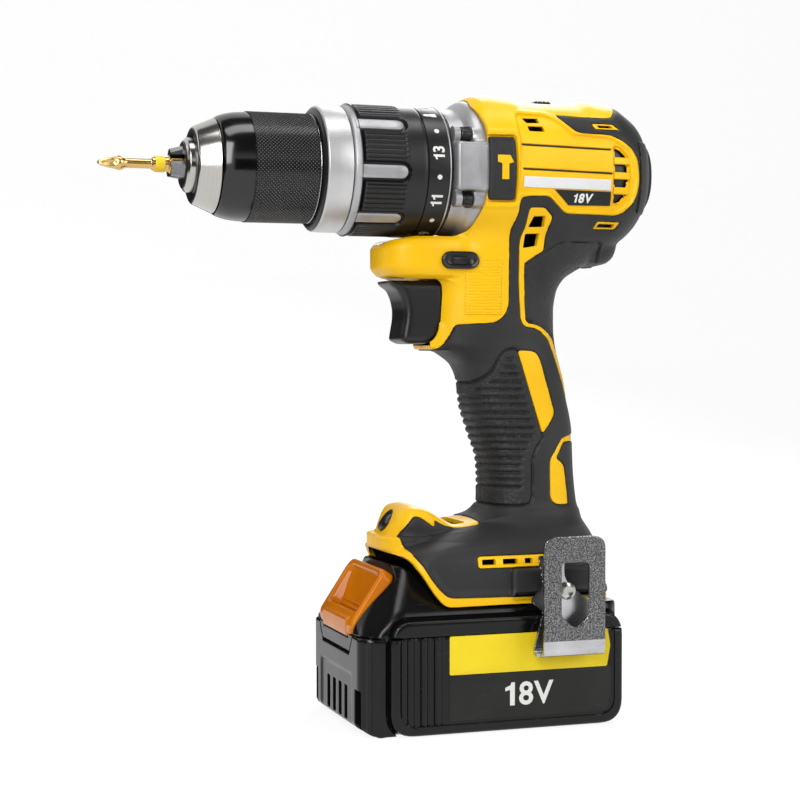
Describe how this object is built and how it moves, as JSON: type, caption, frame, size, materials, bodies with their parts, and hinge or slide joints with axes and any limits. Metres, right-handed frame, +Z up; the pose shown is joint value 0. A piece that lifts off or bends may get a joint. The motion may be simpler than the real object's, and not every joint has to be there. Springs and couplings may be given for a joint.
{
  "type": "cordless hammer drill",
  "caption": "Pistol-grip cordless hammer drill with keyless chuck, clutch collar, planetary gearbox, brushless motor, belt hook and slide-on battery pack.",
  "frame": {"origin": "centre of the battery pack's flat underside, on which the tool stands", "axes": "+Z up, +X from the chuck towards the rear of the motor housing, +Y to the right side of the tool as it is held; the drive line runs along X at z 0.210"},
  "size_m": [0.2164, 0.084, 0.24],
  "materials": {
    "housing_yellow": "satin moulded nylon, bright yellow",
    "overmould_rubber": "fine matte texture, charcoal",
    "black_plastic": "matte moulded plastic, black",
    "gloss_black": "semi-gloss moulded plastic, black",
    "amber_plastic": "glossy orange-yellow",
    "cast_aluminium": "sand-cast grain, light grey",
    "bright_steel": "turned and polished",
    "dark_steel": "machined, oiled",
    "plated_steel": "bright plated spring steel",
    "gold_steel": "gold-toned coating over tool steel",
    "winding_copper": "lacquered copper over steel laminations",
    "clear_lens": "clear moulded lens",
    "cell_wrap": "shrink-wrapped cell",
    "circuit_board": "potted control board",
    "band_yellow": "yellow size ring"
  },
  "bodies": {
    "tool": {"housing_left": "housing_yellow", "housing_right": "housing_yellow", "grip_left": "overmould_rubber", "grip_right": "overmould_rubber", "badge_left": "black_plastic", "badge_right": "black_plastic", "rear_cover": "black_plastic", "belt_hook": "plated_steel", "hook_screw": "dark_steel", "gearcase": "cast_aluminium", "ring_gear_1": "dark_steel", "ring_gear_2": "dark_steel", "motor_stator": "winding_copper", "rear_bearing": "bright_steel", "switch_body": "black_plastic", "control_module": "circuit_board", "lamp_lens": "clear_lens", "terminal_block": "black_plastic"},
    "spindle": {"output_spindle": "dark_steel", "carrier_output": "dark_steel", "chuck_body": "bright_steel"},
    "second_planet_1": {"planet_2_1": "bright_steel"},
    "second_planet_2": {"planet_2_2": "bright_steel"},
    "second_planet_3": {"planet_2_3": "bright_steel"},
    "first_carrier": {"carrier_input": "dark_steel"},
    "first_planet_1": {"planet_1_1": "bright_steel"},
    "first_planet_2": {"planet_1_2": "bright_steel"},
    "first_planet_3": {"planet_1_3": "bright_steel"},
    "rotor": {"motor_rotor": "dark_steel", "motor_pinion": "bright_steel", "cooling_fan": "black_plastic"},
    "sleeve": {"chuck_sleeve": "gloss_black", "chuck_nut": "dark_steel", "chuck_nose_cone": "bright_steel"},
    "jaw_1": {"chuck_jaw_1": "bright_steel"},
    "jaw_2": {"chuck_jaw_2": "bright_steel"},
    "jaw_3": {"chuck_jaw_3": "bright_steel"},
    "bit": {"driver_bit": "gold_steel", "bit_band": "band_yellow"},
    "collar": {"torque_collar": "black_plastic", "trim_ring": "cast_aluminium"},
    "trigger_body": {"trigger": "black_plastic"},
    "button_body": {"direction_button": "black_plastic"},
    "selector_body": {"speed_selector": "black_plastic"},
    "battery": {"battery_case": "gloss_black", "battery_cover": "gloss_black", "battery_contacts": "black_plastic", "cell_1": "cell_wrap", "cell_2": "cell_wrap", "cell_3": "cell_wrap", "cell_4": "cell_wrap", "cell_5": "cell_wrap", "cell_6": "cell_wrap", "cell_7": "cell_wrap", "cell_8": "cell_wrap", "cell_9": "cell_wrap", "cell_10": "cell_wrap"},
    "latch": {"battery_latch": "amber_plastic"}
  },
  "joints": [
    {"name": "chuck_spin", "type": "hinge", "parent": "tool", "child": "spindle", "pos_m": [0, 0, 0.21], "axis": [1, 0, 0], "continuous": true},
    {"name": "second_planet_1_spin", "type": "hinge", "parent": "spindle", "child": "second_planet_1", "pos_m": [0, 0, 0.22148], "axis": [1, 0, 0], "continuous": true},
    {"name": "second_planet_2_spin", "type": "hinge", "parent": "spindle", "child": "second_planet_2", "pos_m": [0, -0.00994, 0.20426], "axis": [1, 0, 0], "continuous": true},
    {"name": "second_planet_3_spin", "type": "hinge", "parent": "spindle", "child": "second_planet_3", "pos_m": [0, 0.00994, 0.20426], "axis": [1, 0, 0], "continuous": true},
    {"name": "first_carrier_spin", "type": "hinge", "parent": "tool", "child": "first_carrier", "pos_m": [0, 0, 0.21], "axis": [1, 0, 0], "continuous": true},
    {"name": "first_planet_1_spin", "type": "hinge", "parent": "first_carrier", "child": "first_planet_1", "pos_m": [0, 0, 0.22148], "axis": [1, 0, 0], "continuous": true},
    {"name": "first_planet_2_spin", "type": "hinge", "parent": "first_carrier", "child": "first_planet_2", "pos_m": [0, -0.00994, 0.20426], "axis": [1, 0, 0], "continuous": true},
    {"name": "first_planet_3_spin", "type": "hinge", "parent": "first_carrier", "child": "first_planet_3", "pos_m": [0, 0.00994, 0.20426], "axis": [1, 0, 0], "continuous": true},
    {"name": "motor_spin", "type": "hinge", "parent": "tool", "child": "rotor", "pos_m": [0, 0, 0.21], "axis": [1, 0, 0], "continuous": true},
    {"name": "sleeve_turn", "type": "hinge", "parent": "spindle", "child": "sleeve", "pos_m": [0, 0, 0.21], "axis": [1, 0, 0], "range_deg": [0, 1440]},
    {"name": "jaw_1_slide", "type": "slide", "parent": "spindle", "child": "jaw_1", "axis": [0.9659, 0, 0.2588], "range_m": [0, 0.011]},
    {"name": "jaw_2_slide", "type": "slide", "parent": "spindle", "child": "jaw_2", "axis": [0.9659, -0.2241, -0.1294], "range_m": [0, 0.011]},
    {"name": "jaw_3_slide", "type": "slide", "parent": "spindle", "child": "jaw_3", "axis": [0.9659, 0.2241, -0.1294], "range_m": [0, 0.011]},
    {"name": "bit_slide", "type": "slide", "parent": "spindle", "child": "bit", "axis": [-1, 0, 0], "range_m": [0, 0.025]},
    {"name": "collar_turn", "type": "hinge", "parent": "tool", "child": "collar", "pos_m": [0, 0, 0.21], "axis": [-1, 0, 0], "range_deg": [0, 300]},
    {"name": "trigger_pull", "type": "slide", "parent": "tool", "child": "trigger_body", "axis": [1, 0, 0], "range_m": [0, 0.007], "stiffness_N_per_m": 1000, "springref_m": -0.003},
    {"name": "direction_push", "type": "slide", "parent": "tool", "child": "button_body", "axis": [0, 1, 0], "range_m": [-0.0026, 0.0026]},
    {"name": "selector_slide", "type": "slide", "parent": "tool", "child": "selector_body", "axis": [1, 0, 0], "range_m": [0, 0.007]},
    {"name": "battery_slide", "type": "slide", "parent": "tool", "child": "battery", "axis": [-1, 0, 0], "range_m": [0, 0.1]},
    {"name": "latch_press", "type": "slide", "parent": "battery", "child": "latch", "axis": [1, 0, 0], "range_m": [0, 0.003], "stiffness_N_per_m": 1500, "springref_m": -0.002}
  ],
  "couplings": [
    {"joint": "second_planet_1_spin", "follows": "chuck_spin", "ratio": -2.8},
    {"joint": "second_planet_2_spin", "follows": "chuck_spin", "ratio": -2.8},
    {"joint": "second_planet_3_spin", "follows": "chuck_spin", "ratio": -2.8},
    {"joint": "first_carrier_spin", "follows": "chuck_spin", "ratio": 4.5},
    {"joint": "first_planet_1_spin", "follows": "chuck_spin", "ratio": -12.6},
    {"joint": "first_planet_2_spin", "follows": "chuck_spin", "ratio": -12.6},
    {"joint": "first_planet_3_spin", "follows": "chuck_spin", "ratio": -12.6},
    {"joint": "motor_spin", "follows": "chuck_spin", "ratio": 20.25},
    {"joint": "jaw_1_slide", "follows": "sleeve_turn", "m_per_rad": 0.00043767},
    {"joint": "jaw_2_slide", "follows": "sleeve_turn", "m_per_rad": 0.00043767},
    {"joint": "jaw_3_slide", "follows": "sleeve_turn", "m_per_rad": 0.00043767}
  ]
}
